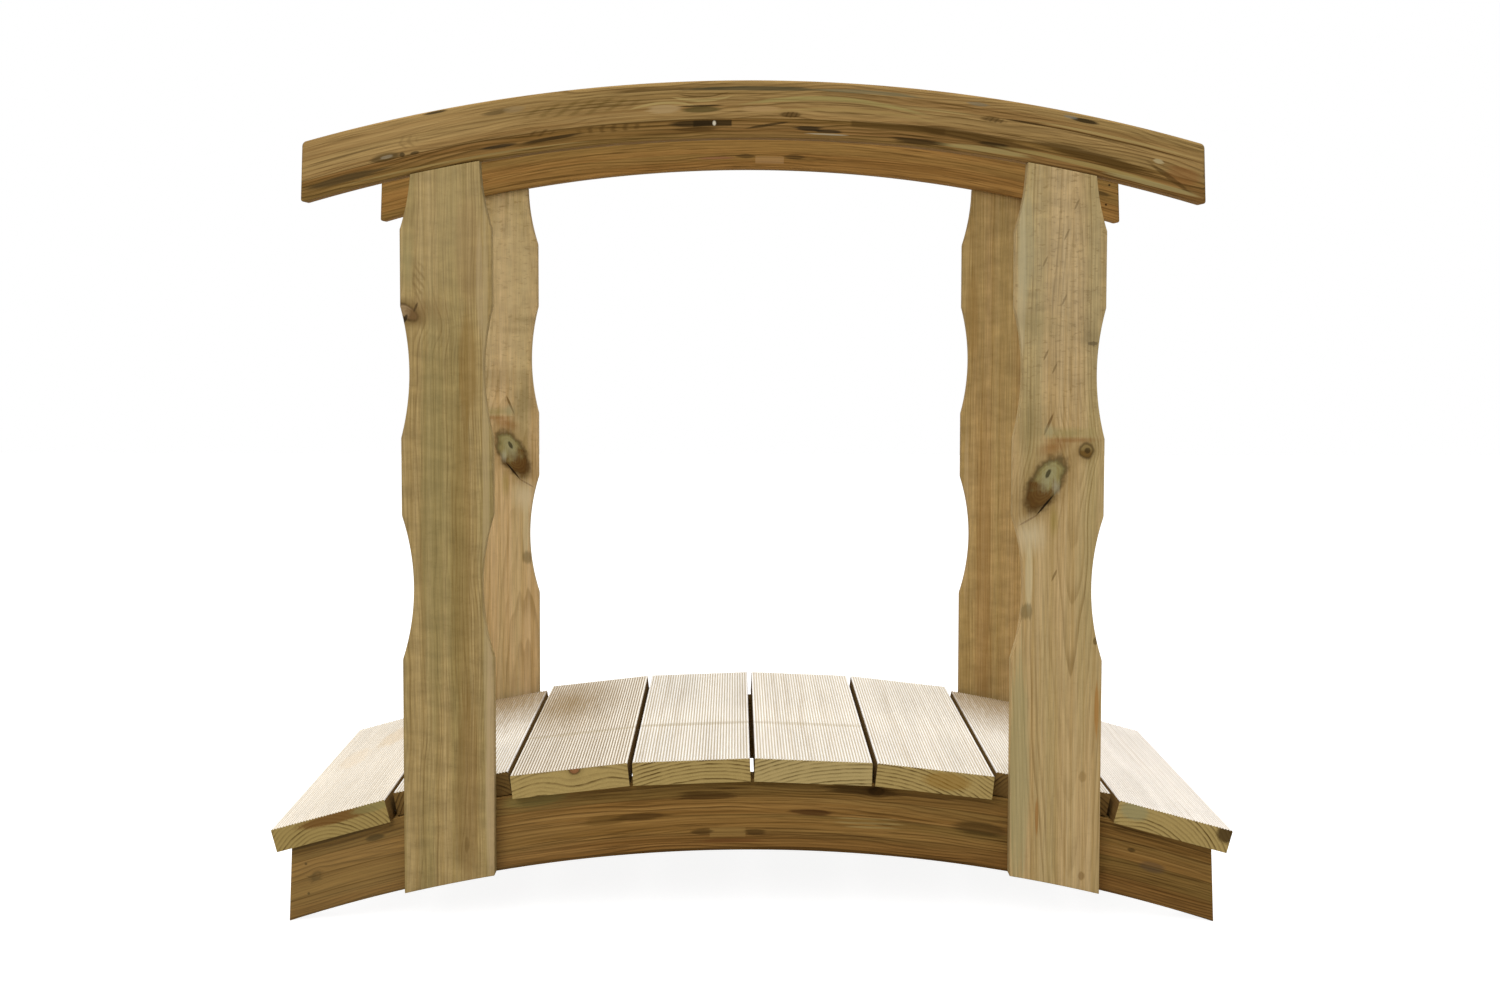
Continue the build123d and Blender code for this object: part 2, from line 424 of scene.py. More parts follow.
def knotted(tree, body, placed, dark):
    """Lay the knots over a colour: the halo first, then the core, then the thin outline."""
    for made, spot in placed:
        upper, lower = (colour(code) for code in spot["tones"])
        body = laid_over(tree, body, dark, made["Halo"], spot["halo"])
        core = laid_over(tree, upper, lower, made["Lower"])
        core = laid_over(tree, core, dark, made["Rings"], 0.3)
        body = laid_over(tree, body, core, made["Core"])
        body = laid_over(tree, body, colour(KNOT_OUTLINE), made["Outline"], 0.6)
    return body


def pine(name, tones, end_tones, seed, pith, ring_width, waviness, slope=(0, 0), unevenness=1.0,
         ring_share=0.75, fleck_share=0.0, fleck_span=(-1, 0), vein_share=0.0, patch_share=0.0,
         end_axis="X", knots=(), marks=(), end_marks=(), glue_lines=(), top=None, top_marks=()):
    """Pressure-treated pine: yellow-brown softwood with a faint olive cast from the treatment.

    Planed and matt, it shows dark latewood lines, short fine fibres and darker sawn ends. The
    finest fibres are drawn 1 mm wide, coarser than real ones, so that they show.
    """
    material = bpy.data.materials.new(name)
    material.use_nodes = True
    tree = material.node_tree
    tree.nodes.clear()
    grain = add(tree, "Attribute", attribute_name="grain").outputs["Vector"]
    pull, placed = place_knots(tree, grain, knots)
    inputs = {"Grain": grain, "Seed": seed, "Pith": (0, *pith), "Slope": (0, *slope),
              "Ring Width": ring_width, "Waviness": waviness, "Unevenness": unevenness}
    if pull:
        inputs["Pull"] = pull
    rings = add(tree, "Group", inputs, node_tree=PATTERNS["rings"]).outputs
    ragged = rings["Ragged"]

    light, mid, dark, olive = (colour(code) for code in tones)
    streaks = add(tree, "MapRange", rings["Streak"], 0.36, 0.64)
    bands = add(tree, "MapRange", rings["Band"], 0.42, 0.62)
    body = laid_over(tree, light, mid, streaks)
    body = laid_over(tree, body, olive, bands, 0.5)
    body = laid_over(tree, body, dark, rings["Latewood"], ring_share)
    if fleck_share:
        place = add(tree, "SeparateXYZ", grain).outputs["X"]
        upper = add(tree, "MapRange", place, *fleck_span, 0.15)
        flecks = add(tree, "Math MULTIPLY", rings["Fleck"], upper)
        body = laid_over(tree, body, dark, flecks, fleck_share)
        body = shaded(tree, body, rings["Figure"], (0.3, 0.7), (0.84, 1.12), upper)
    for pattern, share in (("Vein", vein_share), ("Patch", patch_share)):
        if share:
            body = laid_over(tree, body, dark, rings[pattern], share)
    body = shaded(tree, body, rings["Fibre"], *FIBRE_SHADE)
    body = knotted(tree, body, [one for one in placed if one[1]["end_depth"] is None], dark)
    body = marked(tree, body, grain, ragged, marks)

    normal = add(tree, "NewGeometry").outputs["True Normal"]
    facing = add(tree, "SeparateXYZ", normal).outputs
    end_light, end_dark = (colour(code) for code in end_tones)
    sawn = laid_over(tree, end_light, end_dark, rings["Latewood"])
    sawn = shaded(tree, sawn, rings["Fibre"], *FIBRE_SHADE, 0.6)
    sawn = knotted(tree, sawn, [one for one in placed if one[1]["end_depth"] is not None], end_dark)
    sawn = marked(tree, sawn, grain, ragged, end_marks)
    straight = add(tree, "Math ABSOLUTE", facing[end_axis])
    at_end = add(tree, "MapRange", straight, 0.8, 0.9)
    body = laid_over(tree, body, sawn, at_end)
    if glue_lines:
        across = add(tree, "SeparateXYZ", grain).outputs["Y"]
        for line, share in glue_lines:
            beside = add(tree, "Math SUBTRACT", across, line)
            reach = add(tree, "Math ABSOLUTE", beside)
            seam = add(tree, "MapRange", reach, 1.0, 0.3)
            body = laid_over(tree, body, dark, seam, share)
    # Pale top: partly bleached wood, partly painted light from above; the groove tone is painted shade
    if top:
        crest, groove, share = top
        hollow = add(tree, "Attribute", attribute_name="groove").outputs["Fac"]
        bleached_and_lit = laid_over(tree, colour(crest), colour(groove), hollow)
        bleached_and_lit = shaded(tree, bleached_and_lit, rings["Band"], (0.4, 0.66), (1.0, 0.93))
        bleached_and_lit = laid_over(tree, bleached_and_lit, light, rings["Latewood"], FAINT_LATEWOOD)
        bleached_and_lit = shaded(tree, bleached_and_lit, rings["Fibre"], *FIBRE_SHADE, 0.3)
        bleached_and_lit = marked(tree, bleached_and_lit, grain, ragged, top_marks)
        upward = add(tree, "MapRange", facing["Z"], 0.3, 0.5)
        body = laid_over(tree, body, bleached_and_lit, upward, share)

    height = add(tree, "Math MULTIPLY_ADD", rings["Fibre"], 0.6, rings["Latewood"])
    bump = add(tree, "Bump", {"Height": height, "Strength": 0.35, "Distance": 0.3 * MM})
    shader = add(tree, "BsdfPrincipled", {
        "Base Color": body, "Roughness": 0.85, "IOR": 1.45, "Specular IOR Level": 0.05,
        "Normal": bump,
    })
    add(tree, "OutputMaterial", shader)
    return material


# Geometry trees

def with_grain(tree, shape, along, across, inward):
    """Store the grain attribute, in mm, on a shape."""
    grain = add(tree, "CombineXYZ", along, across, inward)
    grain = add(tree, "VectorMath SCALE", grain, 1 / MM)
    return add(tree, "GeometryNodeStoreNamedAttribute",
               {"Geometry": shape, "Name": "grain", "Value": grain},
               data_type="FLOAT_VECTOR", domain="POINT")


def end_tree(tree, shape, finish):
    """End a tree: real geometry in its finish."""
    real = add(tree, "GeometryNodeRealizeInstances", {"Geometry": shape})
    finished = add(tree, "GeometryNodeSetMaterial", {"Geometry": real, "Material": finish})
    add(tree, "NodeGroupOutput", finished)
    return tree


def bend_tree():
    """Bend a straight lath over a round form, its two ends cut at a lean."""
    tree, given = new_group(
        "bend over the form", "GeometryNodeTree",
        [("Lath", GEOMETRY), "Form Radius", "Form Centre Height", "Lath Base", "Lath Depth",
         "Half Lath", "Half Span Low", "Half Span High", "Face Y", ("Finish", MATERIAL)],
        [("Strip", GEOMETRY)],
    )
    x, y, z = add(tree, "SeparateXYZ", add(tree, "GeometryNodeInputPosition")).outputs
    above_form = add(tree, "Math ADD", given["Lath Base"], z)
    radius = add(tree, "Math ADD", given["Form Radius"], above_form)
    rise = add(tree, "Math DIVIDE", z, given["Lath Depth"])
    span = add(tree, "Mix", rise, given["Half Span Low"], given["Half Span High"],
               data_type="FLOAT", clamp_factor=False)
    ratio = add(tree, "Math DIVIDE", span, radius)
    end_angle = add(tree, "Math ARCSINE", ratio)
    share = add(tree, "Math DIVIDE", x, given["Half Lath"])
    angle = add(tree, "Math MULTIPLY", share, end_angle)
    along = add(tree, "Math MULTIPLY", angle, given["Form Radius"])
    inward = add(tree, "Math SUBTRACT", y, given["Face Y"])
    marked_lath = with_grain(tree, given["Lath"], along, above_form, inward)
    sine = add(tree, "Math SINE", angle)
    cosine = add(tree, "Math COSINE", angle)
    bent_x = add(tree, "Math MULTIPLY", radius, sine)
    bent_z = add(tree, "Math MULTIPLY_ADD", radius, cosine, given["Form Centre Height"])
    bent = add(tree, "CombineXYZ", bent_x, y, bent_z)
    moved = add(tree, "GeometryNodeSetPosition", {"Geometry": marked_lath, "Position": bent})
    return end_tree(tree, moved, given["Finish"])


def closed(tree, sheet, drawn):
    """Close a sheet drawn backwards into a solid, every face outward."""
    turned = add(tree, "GeometryNodeFlipFaces", {"Mesh": drawn})
    both = add(tree, "GeometryNodeJoinGeometry")
    for part in (turned.outputs["Mesh"], sheet):
        tree.links.new(part, both.inputs[0])
    return add(tree, "GeometryNodeMergeByDistance", {"Geometry": both, "Distance": MERGE_DISTANCE})


def board_tree():
    """Deck board with fine ribs milled along its top, laid on the arch at its tilt."""
    tree, given = new_group(
        "ribbed deck board", "GeometryNodeTree",
        [("Blank", GEOMETRY), "Width", "Thickness", "Length", "Ribs", "Groove Depth", "Arris",
         ("Seat", VECTOR), ("Tilt", VECTOR), ("Finish", MATERIAL)],
        [("Board", GEOMETRY)],
    )
    grid = add(tree, "GeometryNodeMeshGrid", given["Width"], given["Length"],
               RIB_COUNT * POINTS_PER_RIB + 1, BOARD_ROWS)
    x, y, _ = add(tree, "SeparateXYZ", add(tree, "GeometryNodeInputPosition")).outputs
    share = add(tree, "Math DIVIDE", x, given["Width"])
    phase = add(tree, "Math ADD", share, 0.5)
    turns = add(tree, "Math MULTIPLY", phase, given["Ribs"])
    angle = add(tree, "Math MULTIPLY", turns, 2 * pi)
    wave = add(tree, "Math COSINE", angle)
    unit = add(tree, "Math MULTIPLY_ADD", wave, 0.5, 0.5)
    groove = add(tree, "Math POWER", unit, GROOVE_SHARPNESS)
    reach = add(tree, "Math ABSOLUTE", x)
    half = add(tree, "Math MULTIPLY", given["Width"], 0.5)
    from_edge = add(tree, "Math SUBTRACT", half, reach)
    short = add(tree, "Math SUBTRACT", given["Arris"], from_edge)
    short = add(tree, "Math MAXIMUM", short, 0.0)
    short = add(tree, "Math MULTIPLY", short, short)
    whole = add(tree, "Math MULTIPLY", given["Arris"], given["Arris"])
    rest = add(tree, "Math SUBTRACT", whole, short)
    root = add(tree, "Math SQRT", rest)
    rounding = add(tree, "Math SUBTRACT", given["Arris"], root)
    inside = add(tree, "Math GREATER_THAN", from_edge, given["Arris"])
    hollow = add(tree, "Math MULTIPLY", groove, inside)
    drop = add(tree, "Math MULTIPLY_ADD", hollow, given["Groove Depth"], rounding)
    top_z = add(tree, "Math SUBTRACT", given["Thickness"], drop)
    marked_grid = add(tree, "GeometryNodeStoreNamedAttribute",
                      {"Geometry": grid.outputs["Mesh"], "Name": "groove", "Value": hollow},
                      data_type="FLOAT", domain="POINT")
    surface = add(tree, "CombineXYZ", x, y, top_z)
    ribbed = add(tree, "GeometryNodeSetPosition", {"Geometry": marked_grid, "Position": surface})
    down = add(tree, "Math MULTIPLY", given["Thickness"], -1.0)
    backwards = add(tree, "CombineXYZ", 0, 0, down)
    drawn = add(tree, "GeometryNodeExtrudeMesh",
                {"Mesh": ribbed, "Offset": backwards, "Offset Scale": 1.0, "Individual": False})
    flat = add(tree, "CombineXYZ", x, y, 0.0)
    levelled = add(tree, "GeometryNodeSetPosition", drawn.outputs["Mesh"], drawn.outputs["Top"],
                   flat)
    solid = closed(tree, ribbed.outputs["Geometry"], levelled.outputs["Geometry"])
    here_x, here_y, here_z = add(tree, "SeparateXYZ", add(tree, "GeometryNodeInputPosition")).outputs
    below = add(tree, "Math SUBTRACT", given["Thickness"], here_z)
    named = with_grain(tree, solid, here_y, here_x, below)
    laid = add(tree, "GeometryNodeTransform",
               {"Geometry": named, "Translation": given["Seat"], "Rotation": given["Tilt"]})
    return end_tree(tree, laid, given["Finish"])


def scallop_tree():
    """Half the width of a post at a height, with a scallop in each stretch of its edge."""
    tree, given = new_group(
        "scalloped edge", "GeometryNodeTree", ["Height", "Half Width"], ["Half"],
    )
    half = given["Half Width"]
    for height, depth, radius in SCALLOPS:
        away = add(tree, "Math SUBTRACT", given["Height"], height * MM)
        away = add(tree, "Math MULTIPLY", away, away)
        rest = add(tree, "Math SUBTRACT", (radius * MM) ** 2, away)
        rest = add(tree, "Math MAXIMUM", rest, 0.0)
        root = add(tree, "Math SQRT", rest)
        cut = add(tree, "Math SUBTRACT", root, (radius - depth) * MM)
        cut = add(tree, "Math MAXIMUM", cut, 0.0)
        half = add(tree, "Math SUBTRACT", half, cut)
    add(tree, "NodeGroupOutput", half)
    return tree


def post_tree(edge_tree):
    """Scalloped post, its foot cut to the stringer's arch and its head to the handrail's."""
    tree, given = new_group(
        "scalloped post", "GeometryNodeTree",
        [("Blank", GEOMETRY), "Centre X", "Half Width", "Thickness", "Face Y", "Foot Radius",
         "Foot Centre", "Head Radius", "Head Centre", ("Finish", MATERIAL)],
        [("Post", GEOMETRY)],
    )
    grid = add(tree, "GeometryNodeMeshGrid", 2.0, 1.0, POST_COLUMNS, POST_ROWS)
    side, way_up, _ = add(tree, "SeparateXYZ", add(tree, "GeometryNodeInputPosition")).outputs
    climb = add(tree, "Math ADD", way_up, 0.5)

    def arch_height(x, radius, centre):
        """Height of an arch's underside at x."""
        square = add(tree, "Math MULTIPLY", x, x)
        whole = add(tree, "Math MULTIPLY", radius, radius)
        rest = add(tree, "Math SUBTRACT", whole, square)
        root = add(tree, "Math SQRT", rest)
        return add(tree, "Math ADD", root, centre)

    def edge_x(height):
        """X of this column of the post at a height."""
        half = add(tree, "GeometryNodeGroup", height, given["Half Width"], node_tree=edge_tree)
        return add(tree, "Math MULTIPLY_ADD", side, half, given["Centre X"])

    foot = arch_height(given["Centre X"], given["Foot Radius"], given["Foot Centre"])
    head = arch_height(given["Centre X"], given["Head Radius"], given["Head Centre"])
    level = add(tree, "Mix", climb, foot, head, data_type="FLOAT")
    rough_x = edge_x(level)
    near_foot = add(tree, "Math SUBTRACT", 1.0, climb)
    height = level
    for share, radius, centre, middle in (
        (near_foot, "Foot Radius", "Foot Centre", foot),
        (climb, "Head Radius", "Head Centre", head),
    ):
        true_height = arch_height(rough_x, given[radius], given[centre])
        change = add(tree, "Math SUBTRACT", true_height, middle)
        weight = add(tree, "Math POWER", share, END_SHARPNESS)
        height = add(tree, "Math MULTIPLY_ADD", change, weight, height)
    surface = add(tree, "CombineXYZ", edge_x(height), given["Face Y"], height)
    placed = add(tree, "GeometryNodeSetPosition", {"Geometry": grid, "Position": surface})
    sheet = placed.outputs["Geometry"]
    inwards = add(tree, "CombineXYZ", 0, given["Thickness"])
    drawn = add(tree, "GeometryNodeExtrudeMesh",
                {"Mesh": sheet, "Offset": inwards, "Offset Scale": 1.0, "Individual": False})
    solid = closed(tree, sheet, drawn.outputs["Mesh"])
    here_x, here_y, here_z = add(tree, "SeparateXYZ", add(tree, "GeometryNodeInputPosition")).outputs
    across = add(tree, "Math SUBTRACT", here_x, given["Centre X"])
    inward = add(tree, "Math SUBTRACT", here_y, given["Face Y"])
    named = with_grain(tree, solid, here_z, across, inward)
    return end_tree(tree, named, given["Finish"])


BEND = bend_tree()
RIBBED_BOARD = board_tree()
POST = post_tree(scallop_tree())


def made_by(name, tree, sizes, blank=None, arris=0.0):
    """Run a geometry tree on a blank and return the finished piece as a plain object."""
    source = bpy.data.objects.new(name, blank or bpy.data.meshes.new(name))
    bpy.context.scene.collection.objects.link(source)
    modifier = source.modifiers.new("shape", "NODES")
    modifier.node_group = tree
    for socket in tree.interface.items_tree:
        if socket.in_out == "INPUT" and socket.name in sizes:
            modifier[socket.identifier] = sizes[socket.name]
    if arris:
        softened = source.modifiers.new("arris", "BEVEL")
        softened.width = arris * MM
        softened.segments = ARRIS_STEPS
        softened.limit_method = "ANGLE"
        softened.angle_limit = radians(ARRIS_ANGLE)
    ready = source.evaluated_get(bpy.context.evaluated_depsgraph_get())
    mesh = bpy.data.meshes.new_from_object(ready)
    source.modifiers.clear()
    bpy.data.objects.remove(source)
    shape = bmesh.new()
    shape.from_mesh(mesh)
    bmesh.ops.recalc_face_normals(shape, faces=shape.faces)
    shape.to_mesh(mesh)
    shape.free()
    mesh.name = name
    mesh.shade_smooth()
    mesh.set_sharp_from_angle(angle=radians(SHARP_ANGLE))
    piece = bpy.data.objects.new(name, mesh)
    bpy.context.scene.collection.objects.link(piece)
    return piece


def settle(piece, node):
    """Let a finished piece stand for its node on the bridge."""
    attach(piece, "root")
    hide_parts(node)


def lath(name, half_length, near_y, far_y, depth, rounding, round_low, round_high):
    """Straight lath along X with rounded outer edges, cut into short lengths for bending."""
    shape = bmesh.new()
    bmesh.ops.create_cube(shape, size=1.0)
    for vert in shape.verts:
        vert.co.x *= 2 * half_length
        vert.co.y = near_y if vert.co.y < 0 else far_y
        vert.co.z = depth if vert.co.z > 0 else 0.0

    def is_outer(edge):
        """Tell whether an edge of the lath gets rounded."""
        low, high = sorted(vert.co.z for vert in edge.verts)
        return high > low or (round_high and low > 0) or (round_low and high == 0)

    outer = [edge for edge in shape.edges if is_outer(edge)]
    bmesh.ops.bevel(shape, geom=outer, offset=rounding, segments=ROUNDING_STEPS, profile=0.5,
                    affect="EDGES")
    for number in range(1, LATH_CUTS):
        place = Vector((half_length * (2 * number / LATH_CUTS - 1), 0, 0))
        everything = shape.verts[:] + shape.edges[:] + shape.faces[:]
        bmesh.ops.bisect_plane(shape, geom=everything, plane_co=place, plane_no=(1, 0, 0))
    mesh = bpy.data.meshes.new(name)
    shape.to_mesh(mesh)
    shape.free()
    return mesh


def half_span(form_radius, radius, half_length, lean):
    """X at which a leaning end cut crosses the circle of a given radius."""
    foot = Vector((half_length, sqrt(form_radius**2 - half_length**2)))
    cut = Vector((-sin(radians(lean)), cos(radians(lean))))
    along = foot.dot(cut)
    reach = -along + sqrt(along**2 + radius**2 - form_radius**2)
    return (foot + cut * reach).x


def bent_strip(node, number, count, form_radius, centre_z, depth, half_length, lean, rounding, finish):
    """One bent strip of an arch beam, in place of its node."""
    low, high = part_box(node)
    base = (number - 1) * depth
    inner = form_radius + base
    low_span = half_span(form_radius, inner, half_length, lean)
    half_lath = inner * asin(low_span / inner)
    blank = lath(node, half_lath * MM, low[1], high[1], depth * MM, rounding * MM,
                 number == 1, number == count)
    piece = made_by("pine_" + node, BEND, {
        "Form Radius": form_radius * MM,
        "Form Centre Height": centre_z * MM,
        "Lath Base": base * MM,
        "Lath Depth": depth * MM,
        "Half Lath": half_lath * MM,
        "Half Span Low": low_span * MM,
        "Half Span High": half_span(form_radius, inner + depth, half_length, lean) * MM,
        "Face Y": low[1],
        "Finish": finish,
    }, blank)
    settle(piece, node)


# Deck

BOARD_TONES = ("#9C8049", "#8A6D3B", "#5E4420", "#857441")
BOARD_END_TONES = ("#AE955C", "#4E3714")
# Painted shade: darker sawn ends for boards 2 and 7, which are set back between a post and the boards
# beside them
PAINTED_SHADE_END_TONES = ("#86693A", "#3C2A12")
# Painted shade in the gaps between the boards
GAP_SHADE_BROWN = "#5C4222"
# Tops of crest, groove and share: crests partly bleached, partly painted light; grooves painted shade
SMOOTH_TOP = ("#FAF3E8", "#D0C2A8", 0.97)
PALE_TOP = ("#FCF7F0", "#C4B698", 0.97)
MID_TOP = ("#FBF6EF", "#B7A98A", 0.97)
TAN_TOP = ("#FCF4E6", "#877047", 0.96)
SNOWY_TOP = ("#FAF5EF", "#D8CCB9", 0.97)
# Darker tan laid over the far parts of the tops of boards 2, 3 and 7
FAR_END_TAN = "#8C6F3C"
# Painted shadow: a faint darker line across the tops of boards 3, 4 and 5
PAINTED_CROSS_SHADOW = "#A89874"
BOARD_SEED = 10


def gap_shade_sides(*sides):
    """Painted shade: dark brown along the edges and sides of a board that face a gap."""
    return tuple(deep_stain(0, side * BOARD_WIDTH / 2, EVERYWHERE, 1.8, GAP_SHADE_BROWN, 0.7, raggedness=0.4)
                 for side in sides)


# What every board has unless its own looks say otherwise. Its marks are painted shade along both sides,
# which face gaps
BOARD_HABIT = {"ring_width": 4.4, "end_tones": BOARD_END_TONES, "marks": gap_shade_sides(-1, 1),
               "waviness": 4.0, "unevenness": 0.35, "end_axis": "Y"}
BOARD_LOOKS = {
    1: {"pith": (-14, 72), "top": SMOOTH_TOP, "marks": gap_shade_sides(1),
        "end_tones": ("#A38B53", "#483212"),
        "end_marks": (end_stain(8, 6, 44, 6, "#6E4820", 0.8),
                      end_stain(50, 5, 22, 5, "#8E8250", 0.7)),
        "top_marks": (deep_stain(190, 16, 90, 22, "#DCC9AC", 0.55, rise=12),
                      deep_stain(60, -30, 70, 18, "#E4D4BC", 0.5))},
    2: {"pith": (30, 70), "top": PALE_TOP, "end_tones": PAINTED_SHADE_END_TONES,
        "top_marks": (deep_stain(300, 0, 210, 130, FAR_END_TAN, 0.8, raggedness=1.8, softness=1.4),)},
    3: {"pith": (0, 240), "top": TAN_TOP,
        "knots": (knot(0, 7, 6, 1.0, 0, ("#9A6A44", "#7A5230"), 0.3, 6.0, end_depth=0),),
        "top_marks": (deep_stain(160, -34, 150, 44, FAR_END_TAN, 0.7, raggedness=2.2, softness=1.6),
                      deep_stain(-95, 0, 10, 90, PAINTED_CROSS_SHADOW, 0.35, raggedness=0.5))},
    4: {"pith": (20, 260), "ring_width": 4.2, "top": MID_TOP,
        "top_marks": (deep_stain(-90, 0, 11, 90, PAINTED_CROSS_SHADOW, 0.4, raggedness=0.5),)},
    5: {"pith": (60, 300), "top": PALE_TOP, "end_tones": ("#B59E68", "#523F1D"),
        "top_marks": (deep_stain(-90, 0, 11, 90, PAINTED_CROSS_SHADOW, 0.3, raggedness=0.5),)},
    6: {"pith": (-70, 260), "ring_width": 4.2, "top": PALE_TOP,
        "end_marks": (end_stain(14, 12, 26, 10, "#94702F", 0.6),)},
    7: {"pith": (20, 90), "top": PALE_TOP, "end_tones": PAINTED_SHADE_END_TONES,
        "top_marks": (deep_stain(300, 0, 210, 130, FAR_END_TAN, 0.75, raggedness=1.8, softness=1.4),)},
    8: {"pith": (-34, 104), "ring_width": 4.6, "top": SNOWY_TOP, "marks": gap_shade_sides(-1),
        "end_marks": (end_stain(62, 5, 12, 11, "#3E2A12", 0.85),
                      end_stain(-48, 8, 16, 10, "#8C8C68", 0.5))},
}


def deck_boards():
    """Lay each ribbed board where its node lies."""
    for number, looks in BOARD_LOOKS.items():
        node = f"deck_board_{number}"
        low, high = (Vector(corner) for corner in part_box(node))
        middle = (low + high) / 2
        above_centre = middle.z - STRINGER_CENTRE_Z * MM
        angle = atan2(middle.x, above_centre)
        radius = hypot(middle.x, above_centre) - BOARD_THICKNESS * MM / 2
        finish = pine(f"pressure-treated pine, ribbed deck board {number}", BOARD_TONES,
                      seed=BOARD_SEED + number, **{**BOARD_HABIT, **looks})
        piece = made_by("pine_" + node, RIBBED_BOARD, {
            "Width": BOARD_WIDTH * MM,
            "Thickness": BOARD_THICKNESS * MM,
            "Length": high.y - low.y,
            "Ribs": float(RIB_COUNT),
            "Groove Depth": GROOVE_DEPTH * MM,
            "Arris": BOARD_ARRIS * MM,
            "Seat": (radius * sin(angle), 0.0, STRINGER_CENTRE_Z * MM + radius * cos(angle)),
            "Tilt": (0.0, angle, 0.0),
            "Finish": finish,
        })
        settle(piece, node)


# Posts. Places on a post are mm up from the floor and mm to the right of its middle.

OLIVE_POST = ("#B49A68", "#A18755", "#70582F", "#928351")
PALE_POST = ("#C6A979", "#B39461", "#7F6435", "#A79765")
FADED_POST = ("#D1B283", "#BD9C69", "#866A39", "#B09F6D")
BROWN_POST = ("#B79866", "#A78755", "#846632", "#A68D57")
POST_END_TONES = ("#9C8656", "#6E5630")
POST_SEED = 31
CRACK_BLACK = "#181006"

# Big leaning knot with a pit and a crack, and the smaller knot beside it. Places are mm from the
# middle of the big one.
GREAT_KNOTS = (
    knot(0, 0, 16, 2.0, 30, ("#968A58", "#624522"), 0.5, 1.8),
    knot(38, 46, 7.5, 1.1, 0, ("#8E784A", "#6E5228"), 0.45, 2.2),
)
GREAT_KNOT_MARKS = (
    stain(8, 3, 13, 7, "#A5A07A", 0.5, rise=4, raggedness=2.4, softness=1.2),
    stain(12, 3, 5, 2.6, "#3A3420", 0.85, rise=2, raggedness=0.8),
    stain(-24, -0.5, 11, 1.5, CRACK_BLACK, 0.95, rise=9, raggedness=0.4),
    stain(-3, 12, 7, 3.5, "#B4AE90", 0.5, raggedness=1.6, softness=1.2),
    stain(-20, -15, 14, 9, "#5A3C18", 0.45, raggedness=1.2, softness=1.4),
    stain(-41, -19, 6, 2.2, "#6A4A24", 0.75, rise=10, raggedness=0.6),
    stain(-59, -17, 16, 13, "#D2C09A", 0.6, raggedness=2.4, softness=1.4),
    stain(-106, -18, 38, 4, "#CFBE94", 0.5),
    stain(-145, -21, 9, 8, "#5E5230", 0.5, raggedness=2.2),
    stain(-42, 10, 14, 4, "#8E7A34", 0.5, softness=1.2),
    stain(58, 24, 5, 24, "#8E8450", 0.5, raggedness=1.4, softness=1.4),
    stain(50, 29, 2.4, 24, "#85582A", 0.5, raggedness=2.2, softness=1.2),
    stain(42, 8, 7, 12, "#8A5A2A", 0.55, rise=6, raggedness=1.8, softness=1.4),
    stain(68, 3, 12, 1.6, "#6A4C26", 0.8, rise=5, raggedness=0.5),
    stain(60, 4, 6, 6, "#A8A078", 0.5, raggedness=1.4, softness=1.2),
    stain(38, 47, 3.4, 3.2, "#3A2C16", 0.75, raggedness=0.8),
    stain(70, -18, 26, 15, "#7A6C46", 0.4, raggedness=2.4, softness=1.4),
    stripes(-5, -28, 40, 7, "#5E4624", 0.25, 4.5, 0),
)


def great_knot(along, across, side):
    """Knots and marks of the great knot at a place. A side of -1 mirrors them."""
    knots = [{**one, "along": along + one["along"], "across": across + one["across"] * side,
              "lean": one["lean"] * side} for one in GREAT_KNOTS]
    marks = []
    for mark in GREAT_KNOT_MARKS:
        values = dict(mark["values"])
        up, right, depth = values["Place"]
        values["Place"] = (along + up, across + right * side, depth)
        if values.get("Rise"):
            values["Rise"] *= side
        marks.append({**mark, "values": values})
    return knots, marks


def dashes(*places):
    """Short dark leaning dashes of resin, their places given as mm up and mm across."""
    return tuple(stain(along, across, 6, 1.3, "#6A5228", 0.6, rise=2.6, raggedness=0.8)
                 for along, across in places)


